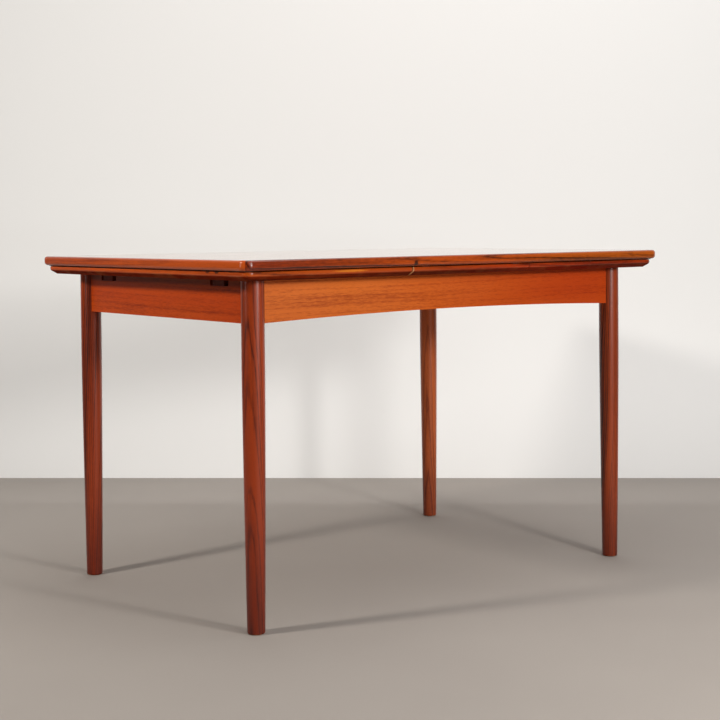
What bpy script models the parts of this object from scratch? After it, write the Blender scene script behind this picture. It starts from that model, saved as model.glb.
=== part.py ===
"""Draw-leaf dining table: a loose top over two leaves that pull out of the ends.

Metres, +Z up. The origin is on the floor below the middle of the table, +X runs along its length
and -Y is its front. Each leaf hangs on two long runners that slide through notches in the end apron
and in the centre rail. The loose top stands on the centre board, located by two pegs, and lifts.
"""
import math

import bmesh
import bpy
from mathutils import Vector

# Driving sizes
TABLE_HEIGHT = 0.730
TOP_LENGTH = 1.185
TOP_WIDTH = 0.822
TOP_THICKNESS = 0.0205
TOP_CORNER_RADIUS = 0.020
TOP_LIPPING_WIDTH = 0.016
TOP_UPPER_ROUND = 0.0068    # rounds of the top's edge, above and below
TOP_LOWER_ROUND = 0.0080
TOP_GAP = 0.0019            # shadow gap between the loose top and the leaves

LEAF_INSET = 0.010          # the leaves stay this far inside the top's edge
LEAF_THICKNESS = 0.0175
LEAF_CORNER_RADIUS = 0.018
LEAF_LIPPING_WIDTH = 0.0165
LEAF_BEVEL_WIDTH = 0.0155
LEAF_EDGE_HEIGHT = 0.0088
LEAF_EDGE_EASE = 0.0019
CENTRE_BOARD_LENGTH = 0.336
LEAF_JOINT = 0.0012         # gap between the centre board and a leaf

LEG_SPACING_X = 1.028
LEG_SPACING_Y = 0.648
LEG_RADIUS = 0.0230
FOOT_RADIUS = 0.0178
LEG_TAPER_START = 0.520
LEG_TAPER_POWER = 1.35
TAPER_STATIONS = 7
FOOT_ROUND = 0.003
LEG_SIDES = 28

APRON_THICKNESS = 0.020
APRON_BOTTOM = 0.6045
APRON_ARCH = 0.0100         # rise of the long aprons' lower edge at the middle

RUNNER_WIDTH = 0.040
RUNNER_DEPTH = 0.0135
LEFT_RUNNER_Y = 0.222
RIGHT_RUNNER_Y = 0.170
RUNNER_END_PROUD = 0.002    # the runner's outer end stands this far out of the end apron
APRON_NOTCH_WIDTH = 0.066
RAIL_THICKNESS = 0.045
RAIL_BOTTOM = 0.618
STOP_LENGTH = 0.020
STOP_DEPTH = 0.012

BLOCK_THICKNESS = 0.024
BLOCK_BOTTOM = 0.617
BLOCK_TOP = 0.675
BOLT_RADIUS = 0.004
BOLT_SIDES = 12
BOLT_IN_LEG = 0.012         # the bolt reaches this far past the leg's axis
NUT_ACROSS_FLATS = 0.013
NUT_THICKNESS = 0.0065

PEG_RADIUS = 0.010
PEG_LENGTH = 0.058
PEG_X = 0.090
PEG_SIDES = 20

SCREW_HEAD_RADIUS = 0.0045
SCREW_SHANK_RADIUS = 0.0023
SCREW_LENGTH = 0.034
SCREW_SIDES = 12
SCREW_Y = (-0.280, -0.070, 0.070, 0.280)

FELT_WIDTH = 0.018
FELT_THICKNESS = 0.0015
FELT_X = (0.130, 0.571)
FELT_INSET = 0.004          # ends of the felt strips from the leaves' outer edge

FIT = 0.0003                # gap left between touching pieces
SLIDE = 0.0006              # running clearance of the runners
REST_GAP = 0.0005           # between the aprons and the leaves that pass over them
DRAW_PAST_TOP = 0.001       # a drawn leaf's inner edge clears the top's end by this much
STOP_GAP = 0.0005           # left between a stop block and the rail at full draw
SCRIBE_HEIGHTS = (0.5, 0.8)
PEG_HOLE_HEIGHTS = (0.6, 0.8)

# Levels and half sizes that follow from them
TOP_UNDERSIDE = TABLE_HEIGHT - TOP_THICKNESS
LEAF_TOP = TOP_UNDERSIDE - TOP_GAP
LEAF_UNDERSIDE = LEAF_TOP - LEAF_THICKNESS
APRON_TOP = LEAF_UNDERSIDE - REST_GAP
RUNNER_TOP = LEAF_UNDERSIDE - FIT
RUNNER_BOTTOM = RUNNER_TOP - RUNNER_DEPTH
NOTCH_BOTTOM = RUNNER_BOTTOM - SLIDE
LEG_X = LEG_SPACING_X / 2
LEG_Y = LEG_SPACING_Y / 2
HALF_LENGTH = TOP_LENGTH / 2
HALF_WIDTH = TOP_WIDTH / 2
LEAF_OUTER_X = HALF_LENGTH - LEAF_INSET
LEAF_HALF_WIDTH = HALF_WIDTH - LEAF_INSET
LEAF_INNER_X = CENTRE_BOARD_LENGTH / 2 + LEAF_JOINT
DRAW = HALF_LENGTH + DRAW_PAST_TOP - LEAF_INNER_X
STOP_INNER_X = RAIL_THICKNESS / 2 + DRAW + STOP_GAP

TEAK_TOP = ((0.42, 0.17, 0.055), 0.30)
TEAK_EDGE = ((0.36, 0.11, 0.030), 0.28)
TEAK_APRON = ((0.45, 0.15, 0.035), 0.35)
TEAK_LEG = ((0.27, 0.065, 0.020), 0.30)
BEECH = ((0.55, 0.36, 0.20), 0.55)
STEEL = ((0.55, 0.55, 0.56), 0.35)
FELT = ((0.10, 0.16, 0.09), 0.95)


def clear_scene():
    for old in list(bpy.data.objects):
        bpy.data.objects.remove(old, do_unlink=True)


def finish_material(name, look, metallic=0.0):
    colour, roughness = look
    material = bpy.data.materials.new(name)
    material.use_nodes = True
    shader = material.node_tree.nodes["Principled BSDF"]
    shader.inputs["Base Color"].default_value = (*colour, 1.0)
    shader.inputs["Roughness"].default_value = roughness
    shader.inputs["Metallic"].default_value = metallic
    material.diffuse_color = (*colour, 1.0)
    return material


def carrier(name, parent=None):
    """An empty that carries the pieces of one moving body."""
    empty = bpy.data.objects.new(name, None)
    bpy.context.collection.objects.link(empty)
    empty.parent = parent
    return empty


def place(name, mesh, material, parent, location=(0, 0, 0), turn=0.0):
    piece = bpy.data.objects.new(name, mesh)
    bpy.context.collection.objects.link(piece)
    if material is not None:
        mesh.materials.clear()
        mesh.materials.append(material)
    piece.location = location
    piece.rotation_euler = (0, 0, turn)
    piece.parent = parent
    return piece


def loft(name, rings, smooth_angle=None):
    """A closed mesh through rings of equal vertex count, capped at both ends."""
    shape = bmesh.new()
    loops = [[shape.verts.new(point) for point in ring] for ring in rings]
    count = len(rings[0])
    for lower, upper in zip(loops, loops[1:]):
        for i in range(count):
            j = (i + 1) % count
            shape.faces.new((lower[i], lower[j], upper[j], upper[i]))
    shape.faces.new(list(reversed(loops[0])))
    shape.faces.new(loops[-1])
    bmesh.ops.recalc_face_normals(shape, faces=shape.faces)
    mesh = bpy.data.meshes.new(name)
    shape.to_mesh(mesh)
    shape.free()
    if smooth_angle is not None:
        mesh.shade_smooth()
        mesh.set_sharp_from_angle(angle=math.radians(smooth_angle))
    return mesh


def circle(radius, height, sides):
    step = 2 * math.pi / sides
    return [(radius * math.cos(i * step), radius * math.sin(i * step), height) for i in range(sides)]


def turned(name, profile, sides):
    """A solid of revolution about Z through (radius, height) points, bottom first."""
    return loft(name, [circle(radius, height, sides) for radius, height in profile], 40)


def prism(name, outline, axis, start, end):
    """An outline of 2-D points drawn across X or Y (with Z) or in plan, extruded along an axis."""
    def point(a, b, depth):
        return {"X": (depth, a, b), "Y": (a, depth, b), "Z": (a, b, depth)}[axis]
    return loft(name, [[point(a, b, depth) for a, b in outline] for depth in (start, end)])


def box(name, low, high):
    outline = [(low[0], low[1]), (high[0], low[1]), (high[0], high[1]), (low[0], high[1])]
    return prism(name, outline, "Z", low[2], high[2])


def cutter(name, mesh, parent, location=(0, 0, 0), rotation=None):
    guide = place(name, mesh, None, parent, location)
    if rotation is not None:
        guide.rotation_euler = rotation
    guide.hide_render = True
    guide.display_type = "WIRE"
    return guide


def cut(piece, tool):
    modifier = piece.modifiers.new("cut_" + tool.name, "BOOLEAN")
    modifier.operation = "DIFFERENCE"
    modifier.solver = "EXACT"
    modifier.object = tool


def arc_stations(centre, radius, start, end, steps):
    """(outer point, inward direction) pairs round a corner; the angles are in degrees."""
    stations = []
    for i in range(steps + 1):
        angle = math.radians(start + (end - start) * i / steps)
        outward = Vector((math.cos(angle), math.sin(angle)))
        stations.append((Vector(centre) + radius * outward, -outward))
    return stations


def edge_ring(station, profile):
    """The edge profile's (inset, height) points set upright at a station of the outline."""
    point, inward = station
    return [(*(point + inset * inward), height) for inset, height in profile]


def shifted(ring, direction, distance):
    return [tuple(Vector(point) + Vector(direction) * distance) for point in ring]


def lipping(name, stations, profile, mitred):
    """A solid edge strip along the stations, with a hairline off each mitred end."""
    rings = [edge_ring(station, profile) for station in stations]
    for end, is_mitred in zip((0, -1), mitred):
        if is_mitred:
            outward = -stations[end][1]
            along = Vector((-outward.y, outward.x, 0)) * (1 if end == 0 else -1)
            rings[end] = shifted(rings[end], along, FIT / 2)
    return loft(name, rings, 35)


def top_edge_profile():
    """The top's rounded edge: a small round above, a larger one below."""
    upper, lower, steps = TOP_UPPER_ROUND, TOP_LOWER_ROUND, 4
    angles = [math.radians(90 * i / steps) for i in range(steps + 1)]
    points = [(TOP_LIPPING_WIDTH, TABLE_HEIGHT)]
    points += [(upper * (1 - math.sin(angle)), TABLE_HEIGHT - upper * (1 - math.cos(angle)))
               for angle in angles]
    points += [(lower * (1 - math.cos(angle)), TOP_UNDERSIDE + lower * (1 - math.sin(angle)))
               for angle in angles]
    points.append((TOP_LIPPING_WIDTH, TOP_UNDERSIDE))
    return points


def leaf_edge_profile():
    """A leaf's edge: a short eased face above a long bevel that runs in underneath."""
    ease = LEAF_EDGE_EASE
    edge_bottom = LEAF_TOP - LEAF_EDGE_HEIGHT
    return [(LEAF_LIPPING_WIDTH, LEAF_TOP), (2 * ease, LEAF_TOP), (ease / 2, LEAF_TOP - ease / 2),
            (0, LEAF_TOP - 2 * ease), (0, edge_bottom + ease), (ease, edge_bottom - ease / 2),
            (LEAF_BEVEL_WIDTH, LEAF_UNDERSIDE), (LEAF_LIPPING_WIDTH, LEAF_UNDERSIDE)]


def rounded_panel(name, half_x, half_y, radius, bottom, top):
    corners = ((1, 1, 0), (-1, 1, 90), (-1, -1, 180), (1, -1, 270))
    outline = []
    for side_x, side_y, start in corners:
        centre = (side_x * (half_x - radius), side_y * (half_y - radius))
        outline += [tuple(point) for point, _ in arc_stations(centre, radius, start, start + 90, 3)]
    return prism(name, outline, "Z", bottom, top)


def build_legs(frame, teak, steel, beech):
    """Turned legs, each bolted through a corner block by a hanger bolt and its nut."""
    heights = [LEG_TAPER_START * (1 - i / TAPER_STATIONS) for i in range(TAPER_STATIONS)]
    profile = [(LEG_RADIUS, APRON_TOP - FOOT_ROUND / 6)]
    for height in heights:
        fall = (LEG_TAPER_START - height) / LEG_TAPER_START
        profile.append((LEG_RADIUS - (LEG_RADIUS - FOOT_RADIUS) * fall ** LEG_TAPER_POWER, height))
    profile += [(FOOT_RADIUS, FOOT_ROUND), (FOOT_RADIUS - FOOT_ROUND / 3, FOOT_ROUND / 3),
                (FOOT_RADIUS - FOOT_ROUND, 0.0)]
    leg_mesh = turned("leg", list(reversed(profile)), LEG_SIDES)

    block_face = LEG_RADIUS + FIT
    block_back = block_face + BLOCK_THICKNESS
    bolt_z = (BLOCK_BOTTOM + BLOCK_TOP) / 2
    bolt_end = block_back + 2 * NUT_THICKNESS
    bolt = turned("leg_bolt", [(BOLT_RADIUS, -BOLT_IN_LEG), (BOLT_RADIUS, bolt_end)], BOLT_SIDES)
    hole = turned("bolt_hole", [(BOLT_RADIUS + FIT, -BOLT_IN_LEG - FIT),
                                (BOLT_RADIUS + FIT, bolt_end + 0.01)], BOLT_SIDES)
    nut_radius = NUT_ACROSS_FLATS / 2 / math.cos(math.pi / 6)
    nut = turned("leg_nut", [(nut_radius, block_back + FIT),
                             (nut_radius, block_back + FIT + NUT_THICKNESS)], 6)

    apron_face = APRON_THICKNESS / 2 + FIT
    near = block_face * math.sqrt(2) - apron_face
    far = block_back * math.sqrt(2) - apron_face
    block_outline = [(near, apron_face), (far, apron_face), (apron_face, far), (apron_face, near)]
    block = prism("corner_block", block_outline, "Z", BLOCK_BOTTOM, BLOCK_TOP)

    corners = {"front_left": (-1, -1, 0), "front_right": (1, -1, 90),
               "rear_right": (1, 1, 180), "rear_left": (-1, 1, 270)}
    for corner, (side_x, side_y, turn) in corners.items():
        foot = (side_x * LEG_X, side_y * LEG_Y, 0)
        turn = math.radians(turn)
        diagonal = (math.pi / 2, 0, turn + 3 * math.pi / 4)
        leg = place("leg_" + corner, leg_mesh.copy(), teak, frame, foot)
        corner_block = place("corner_block_" + corner, block.copy(), beech, frame, foot, turn)
        bolt_place = (foot[0], foot[1], bolt_z)
        leg_bolt = place("leg_bolt_" + corner, bolt.copy(), steel, frame, bolt_place)
        leg_nut = place("leg_nut_" + corner, nut.copy(), steel, frame, bolt_place)
        leg_bolt.rotation_euler = diagonal
        leg_nut.rotation_euler = diagonal
        bore = cutter("bolt_bore_" + corner, hole.copy(), frame, bolt_place, diagonal)
        for bored in (leg, corner_block, leg_nut):
            cut(bored, bore)


def build_aprons(frame, teak):
    """Aprons scribed to the round legs: long ones arched below, end ones notched for the runners."""
    scribe = turned("leg_scribe", [(LEG_RADIUS + FIT, height) for height in SCRIBE_HEIGHTS], LEG_SIDES)
    scribes = {}
    for side_x in (-1, 1):
        for side_y in (-1, 1):
            name = f"leg_scribe_{side_x}_{side_y}"
            spot = (side_x * LEG_X, side_y * LEG_Y, 0)
            scribes[side_x, side_y] = cutter(name, scribe.copy(), frame, spot)

    half = APRON_THICKNESS / 2
    end_x = LEG_X - LEG_RADIUS / 2
    outline = [(-end_x, APRON_TOP)]
    steps = 16
    for i in range(steps + 1):
        along = -1 + 2 * i / steps
        outline.append((along * end_x, APRON_BOTTOM + APRON_ARCH * (1 - along * along)))
    outline.append((end_x, APRON_TOP))
    for name, side_y in (("front_apron", -1), ("rear_apron", 1)):
        mesh = prism(name, outline, "Y", -half, half)
        apron = place(name, mesh, teak, frame, (0, side_y * LEG_Y, 0))
        for side_x in (-1, 1):
            cut(apron, scribes[side_x, side_y])

    end_y = LEG_Y - LEG_RADIUS / 2
    half_notch = APRON_NOTCH_WIDTH / 2
    ends = (("left_end_apron", -1, LEFT_RUNNER_Y), ("right_end_apron", 1, RIGHT_RUNNER_Y))
    for name, side_x, runner_y in ends:
        outline = [(-end_y, APRON_BOTTOM), (end_y, APRON_BOTTOM), (end_y, APRON_TOP)]
        for middle in (runner_y, -runner_y):
            outline += notch(middle, half_notch)
        outline.append((-end_y, APRON_TOP))
        mesh = prism(name, outline, "X", -half, half)
        apron = place(name, mesh, teak, frame, (side_x * LEG_X, 0, 0))
        for side_y in (-1, 1):
            cut(apron, scribes[side_x, side_y])


def notch(middle, half_width):
    """Four outline points of a notch in an upper edge that is drawn towards -Y."""
    return [(middle + half_width, APRON_TOP), (middle + half_width, NOTCH_BOTTOM),
            (middle - half_width, NOTCH_BOTTOM), (middle - half_width, APRON_TOP)]


def build_centre(frame, teak_top, teak_edge, beech, steel):
    """The fixed board between the leaves, screwed down to the notched centre rail."""
    half_rail = RAIL_THICKNESS / 2
    rail_end = LEG_Y - APRON_THICKNESS / 2 - FIT
    outline = [(-rail_end, RAIL_BOTTOM), (rail_end, RAIL_BOTTOM), (rail_end, APRON_TOP)]
    for middle in (LEFT_RUNNER_Y, RIGHT_RUNNER_Y, -RIGHT_RUNNER_Y, -LEFT_RUNNER_Y):
        outline += notch(middle, RUNNER_WIDTH / 2 + SLIDE)
    outline.append((-rail_end, APRON_TOP))
    rail = place("centre_rail", prism("centre_rail", outline, "X", -half_rail, half_rail), beech, frame)

    half_board = CENTRE_BOARD_LENGTH / 2
    panel_y = LEAF_HALF_WIDTH - LEAF_LIPPING_WIDTH - FIT
    mesh = box("centre_board", (-half_board, -panel_y, LEAF_UNDERSIDE), (half_board, panel_y, LEAF_TOP))
    board = place("centre_board_panel", mesh, teak_top, frame)
    for name, side_y in (("front", -1), ("rear", 1)):
        stations = [(Vector((x, side_y * LEAF_HALF_WIDTH)), Vector((0, -side_y)))
                    for x in (-half_board, half_board)]
        mesh = lipping(name, stations, leaf_edge_profile(), (False, False))
        place("centre_board_lipping_" + name, mesh, teak_edge, frame)

    bore = turned("peg_hole", [(PEG_RADIUS + 2 * FIT, height) for height in PEG_HOLE_HEIGHTS], PEG_SIDES)
    for side_x in (-1, 1):
        cut(board, cutter(f"peg_hole_{side_x}", bore.copy(), frame, (side_x * PEG_X, 0, 0)))

    sink = SCREW_HEAD_RADIUS - SCREW_SHANK_RADIUS
    screw = turned("screw", [(SCREW_SHANK_RADIUS / 3, -SCREW_LENGTH),
                             (SCREW_SHANK_RADIUS, -SCREW_LENGTH + 0.004),
                             (SCREW_SHANK_RADIUS, -sink), (SCREW_HEAD_RADIUS, 0)], SCREW_SIDES)
    wide = SCREW_SHANK_RADIUS + FIT
    head = SCREW_HEAD_RADIUS + FIT
    hole = turned("screw_hole", [(wide, -SCREW_LENGTH - FIT), (wide, -sink - FIT / 2), (head, -FIT / 2),
                                 (head, 0.004)], SCREW_SIDES)
    for number, screw_y in enumerate(SCREW_Y, 1):
        spot = (0, screw_y, LEAF_TOP - 2 * FIT)
        place(f"centre_board_screw_{number}", screw.copy(), steel, frame, spot)
        tool = cutter(f"screw_hole_{number}", hole.copy(), frame, spot)
        cut(board, tool)
        cut(rail, tool)


def build_top(top, teak_top, teak_edge, beech, felt):
    """The loose top: a panel in four mitred lippings, with pegs and felt strips underneath."""
    inset = TOP_LIPPING_WIDTH + FIT
    mesh = rounded_panel("top_panel", HALF_LENGTH - inset, HALF_WIDTH - inset,
                         TOP_CORNER_RADIUS - inset, TOP_UNDERSIDE, TABLE_HEIGHT)
    place("top_panel", mesh, teak_top, top)

    centre_x = HALF_LENGTH - TOP_CORNER_RADIUS
    centre_y = HALF_WIDTH - TOP_CORNER_RADIUS
    corners = ((centre_x, centre_y), (-centre_x, centre_y), (-centre_x, -centre_y), (centre_x, -centre_y))
    for i, name in enumerate(("rear", "left", "front", "right")):
        start = 45 + 90 * i
        stations = arc_stations(corners[i], TOP_CORNER_RADIUS, start, start + 45, 4)
        stations += arc_stations(corners[(i + 1) % 4], TOP_CORNER_RADIUS, start + 45, start + 90, 4)
        mesh = lipping(name, stations, top_edge_profile(), (True, True))
        place("top_lipping_" + name, mesh, teak_edge, top)

    peg = turned("peg", [(PEG_RADIUS * 0.8, -PEG_LENGTH), (PEG_RADIUS, -PEG_LENGTH + 0.003),
                         (PEG_RADIUS, 0)], PEG_SIDES)
    half_strip = FELT_WIDTH / 2
    reach = LEAF_HALF_WIDTH - FELT_INSET
    for side, side_x in (("left", -1), ("right", 1)):
        spot = (side_x * PEG_X, 0, TOP_UNDERSIDE - FIT)
        place("guide_peg_" + side, peg.copy(), beech, top, spot)
        for position, felt_x in zip(("inner", "outer"), FELT_X):
            mesh = box("felt", (-half_strip, -reach, -FELT_THICKNESS), (half_strip, reach, 0))
            spot = (side_x * felt_x, 0, TOP_UNDERSIDE - FIT / 2)
            place(f"felt_strip_{side}_{position}", mesh, felt, top, spot)


def build_leaf(leaf, side, side_x, runner_y, teak_top, teak_edge, beech):
    """One leaf: a panel lipped on three sides, on two runners with a stop block each."""
    centre = (side_x * (LEAF_OUTER_X - LEAF_CORNER_RADIUS), LEAF_HALF_WIDTH - LEAF_CORNER_RADIUS)
    profile = leaf_edge_profile()
    first, last = (0, 45) if side_x > 0 else (180, 135)
    square = 2 * last - first
    end_arc = arc_stations(centre, LEAF_CORNER_RADIUS, first, last, 4)
    long_arc = arc_stations(centre, LEAF_CORNER_RADIUS, last, square, 4)
    long_end = [(Vector((side_x * LEAF_INNER_X, LEAF_HALF_WIDTH)), Vector((0, -1)))]

    def mirrored(stations):
        return [(Vector((p.x, -p.y)), Vector((n.x, -n.y))) for p, n in reversed(stations)]

    turn_way = 1 if side_x > 0 else -1
    strips = {"end": (mirrored(end_arc) + end_arc, (True, True)),
              "rear": (long_arc + long_end, (True, False)),
              "front": (mirrored(long_arc + long_end), (False, True))}
    for name, (stations, mitred) in strips.items():
        if turn_way < 0:
            stations = list(reversed(stations))
            mitred = tuple(reversed(mitred))
        mesh = lipping(name, stations, profile, mitred)
        place(f"{side}_leaf_lipping_{name}", mesh, teak_edge, leaf)

    inset = LEAF_LIPPING_WIDTH + FIT
    radius = LEAF_CORNER_RADIUS - inset
    rear = [tuple(p) for p, _ in arc_stations(centre, radius, first, square, 3)]
    outline = [(x, -y) for x, y in reversed(rear)] + rear
    panel_y = LEAF_HALF_WIDTH - inset
    outline += [(side_x * LEAF_INNER_X, panel_y), (side_x * LEAF_INNER_X, -panel_y)]
    mesh = prism("leaf_panel", outline, "Z", LEAF_UNDERSIDE, LEAF_TOP)
    place(f"{side}_leaf_panel", mesh, teak_top, leaf)

    runner_start = side_x * (LEG_X + APRON_THICKNESS / 2 + RUNNER_END_PROUD)
    runner_end = -side_x * (STOP_INNER_X + STOP_LENGTH)
    low_x, high_x = sorted((runner_start, runner_end))
    stop_low, stop_high = sorted((-side_x * STOP_INNER_X, runner_end))
    half = RUNNER_WIDTH / 2
    for name, side_y in (("front", -1), ("rear", 1)):
        spot = (0, side_y * runner_y, 0)
        mesh = box("runner", (low_x, -half, RUNNER_BOTTOM), (high_x, half, RUNNER_TOP))
        place(f"{side}_runner_{name}", mesh, beech, leaf, spot)
        stop_top = RUNNER_BOTTOM - FIT
        stop_half = half * 0.8
        mesh = box("stop", (stop_low, -stop_half, stop_top - STOP_DEPTH), (stop_high, stop_half, stop_top))
        place(f"{side}_stop_block_{name}", mesh, beech, leaf, spot)


def build_table():
    clear_scene()
    teak_top = finish_material("teak_veneer", TEAK_TOP)
    teak_edge = finish_material("teak_lipping", TEAK_EDGE)
    teak_apron = finish_material("teak_apron", TEAK_APRON)
    teak_leg = finish_material("teak_leg", TEAK_LEG)
    beech = finish_material("beech", BEECH)
    steel = finish_material("steel", STEEL, metallic=1.0)
    felt = finish_material("felt", FELT)

    frame = carrier("table_frame")
    build_legs(frame, teak_leg, steel, beech)
    build_aprons(frame, teak_apron)
    build_centre(frame, teak_top, teak_edge, beech, steel)
    build_top(carrier("loose_top", frame), teak_top, teak_edge, beech, felt)
    build_leaf(carrier("left_leaf", frame), "left", -1, LEFT_RUNNER_Y, teak_top, teak_edge, beech)
    build_leaf(carrier("right_leaf", frame), "right", 1, RIGHT_RUNNER_Y, teak_top, teak_edge, beech)


build_table()
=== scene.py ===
import math

import bmesh
import bpy
from mathutils import Matrix, Vector


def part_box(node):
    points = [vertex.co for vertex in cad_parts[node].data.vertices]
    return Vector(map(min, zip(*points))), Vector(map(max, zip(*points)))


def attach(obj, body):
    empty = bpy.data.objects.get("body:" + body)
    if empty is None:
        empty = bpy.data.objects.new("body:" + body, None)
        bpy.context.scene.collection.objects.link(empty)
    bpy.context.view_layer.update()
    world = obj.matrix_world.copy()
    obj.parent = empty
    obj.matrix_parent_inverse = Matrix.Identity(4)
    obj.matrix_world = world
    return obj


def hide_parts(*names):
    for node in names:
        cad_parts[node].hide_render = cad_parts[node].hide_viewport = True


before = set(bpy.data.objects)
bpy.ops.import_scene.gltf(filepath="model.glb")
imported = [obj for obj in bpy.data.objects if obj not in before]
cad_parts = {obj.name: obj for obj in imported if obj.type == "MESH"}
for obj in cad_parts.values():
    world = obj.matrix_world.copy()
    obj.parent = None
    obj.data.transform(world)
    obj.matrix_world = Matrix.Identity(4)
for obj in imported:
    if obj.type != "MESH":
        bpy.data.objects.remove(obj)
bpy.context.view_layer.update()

# ---------------------------------------------------------------- sizes, in metres
TABLE_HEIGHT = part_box("top_panel")[1].z
TOP_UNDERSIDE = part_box("top_panel")[0].z
HALF_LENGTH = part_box("top_lipping_right")[1].x
HALF_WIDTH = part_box("top_lipping_rear")[1].y
TOP_PANEL_X, TOP_PANEL_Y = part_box("top_panel")[1].xy
TOP_CORNER = 0.020
TOP_UPPER_ROUND = 0.0068
TOP_LOWER_ROUND = 0.0080
TOP_OUTLINE = (HALF_LENGTH, HALF_WIDTH, TOP_CORNER)
TOP_PANEL_EASE = 0.0002
TOP_VENEER_WIDTH = 0.132

LEAF_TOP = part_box("left_leaf_panel")[1].z
LEAF_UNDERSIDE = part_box("left_leaf_panel")[0].z
LEAF_OUTER_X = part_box("right_leaf_lipping_end")[1].x
LEAF_HALF_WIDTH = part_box("right_leaf_lipping_rear")[1].y
LEAF_INNER_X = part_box("right_leaf_panel")[0].x
LEAF_PANEL_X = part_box("right_leaf_panel")[1].x
LEAF_PANEL_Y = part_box("right_leaf_panel")[1].y
BOARD_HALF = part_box("centre_board_panel")[1].x
LEAF_CORNER = 0.018
LEAF_EDGE_HEIGHT = 0.0088
LEAF_BEVEL_WIDTH = 0.0155
LEAF_UPPER_EASE = 0.0030
LEAF_LOWER_EASE = 0.0036
LEAF_OUTLINE = (LEAF_OUTER_X, LEAF_HALF_WIDTH, LEAF_CORNER)
LEAF_PANEL_EASE = 0.0003
LEAF_VENEER_WIDTH = 0.1285

FRONT_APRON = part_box("front_apron")
END_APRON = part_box("left_end_apron")
APRON_TOP = END_APRON[1].z
APRON_THICKNESS = FRONT_APRON[1].y - FRONT_APRON[0].y
APRON_ARCH = 0.0100
APRON_EASE = 0.0008
ARCH_PARTS = 32
SCRIBE_GAP = 0.0001         # between an apron's hollowed end and its leg
LEG_LOW, LEG_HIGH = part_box("leg_front_right")
LEG_X = (LEG_LOW.x + LEG_HIGH.x) / 2
LEG_Y = -(LEG_LOW.y + LEG_HIGH.y) / 2
LEG_RADIUS = (LEG_HIGH.x - LEG_LOW.x) / 2
FOOT_RADIUS = 0.0178
LEG_TAPER_START = 0.520
LEG_TAPER_POWER = 1.35
LEG_SIDES = 72
TAPER_STEPS = 22
FOOT_ROUND = 0.0032
LEG_TOP = APRON_TOP - 0.001
LEG_TOP_EASE_IN = 0.0007
LEG_TOP_EASE_DOWN = 0.0010

NOTCH_HALF = 0.033
NOTCH_ROUND = 0.004
NOTCH_SLACK = 0.0006        # room under a runner in its notch
SHARP_END = 0.0007          # ease on the sawn ends where two strips meet
WORN_LEAF_END = 0.0020      # the left joint is chipped, so its ends are rounder
WORN_BOARD_END = 0.0014
HAIRLINE = 0.00012          # glue line between a panel and its lipping
CORNERS = {"front_left": (-1, -1), "front_right": (1, -1), "rear_right": (1, 1), "rear_left": (-1, 1)}


# ---------------------------------------------------------------- shader graph helpers
class Graph:
    """Short calls for adding, setting and joining shader nodes."""

    def __init__(self, tree):
        self.tree = tree

    def add(self, kind, inputs=None, **settings):
        node = self.tree.nodes.new(kind)
        for name, value in settings.items():
            setattr(node, name, value)
        for name, value in (inputs or {}).items():
            self.feed(node.inputs[name], value)
        return node

    def feed(self, socket, value):
        if isinstance(value, bpy.types.NodeSocket):
            self.tree.links.new(value, socket)
        else:
            socket.default_value = value

    def math(self, operation, a, b=0.0, clamp=False):
        node = self.add("ShaderNodeMath", {0: a, 1: b}, operation=operation, use_clamp=clamp)
        return node.outputs[0]

    def parts(self, vector):
        return self.add("ShaderNodeSeparateXYZ", {0: vector}).outputs

    def vector(self, x, y, z):
        return self.add("ShaderNodeCombineXYZ", {0: x, 1: y, 2: z}).outputs[0]

    def stretch(self, vector, along, across):
        """Scales a grain vector: x runs along the grain, y and z across it."""
        inputs = {0: vector, 1: (along, across, across)}
        return self.add("ShaderNodeVectorMath", inputs, operation="MULTIPLY").outputs[0]

    def noise(self, vector, scale=1.0, detail=2.0, roughness=0.5, distortion=0.0):
        inputs = {"Vector": vector, "Scale": scale, "Detail": detail,
                  "Roughness": roughness, "Distortion": distortion}
        return self.add("ShaderNodeTexNoise", inputs).outputs["Fac"]

    def remap(self, value, low, high, to_low=0.0, to_high=1.0, smooth=False):
        inputs = {0: value, 1: low, 2: high, 3: to_low, 4: to_high}
        node = self.add("ShaderNodeMapRange", inputs, clamp=True)
        if smooth:
            node.interpolation_type = "SMOOTHSTEP"
        return node.outputs[0]

    def blend(self, factor, a, b, mode="MIX"):
        node = self.add("ShaderNodeMix", data_type="RGBA", blend_type=mode, clamp_factor=True)
        for socket, value in ((node.inputs[0], factor), (node.inputs[6], a), (node.inputs[7], b)):
            self.feed(socket, value)
        return node.outputs[2]

    def ramp(self, value, stops, interpolation="EASE"):
        """A ramp of grey levels: stops are (position, level) pairs."""
        node = self.add("ShaderNodeValToRGB", {0: value})
        ramp = node.color_ramp
        ramp.interpolation = interpolation
        while len(ramp.elements) < len(stops):
            ramp.elements.new(0.5)
        for element, (position, level) in zip(ramp.elements, stops):
            element.position = position
            element.color = (level, level, level, 1)
        return node.outputs[0]


def new_group(name, inputs, outputs):
    """A node group with (name, kind, default) inputs and (name, kind) outputs."""
    group = bpy.data.node_groups.new(name, "ShaderNodeTree")
    for label, kind, default in inputs:
        socket = group.interface.new_socket(label, in_out="INPUT", socket_type="NodeSocket" + kind)
        if default is not None:
            socket.default_value = default
    for label, kind in outputs:
        group.interface.new_socket(label, in_out="OUTPUT", socket_type="NodeSocket" + kind)
    graph = Graph(group)
    return group, graph, graph.add("NodeGroupInput").outputs, graph.add("NodeGroupOutput").inputs


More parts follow.
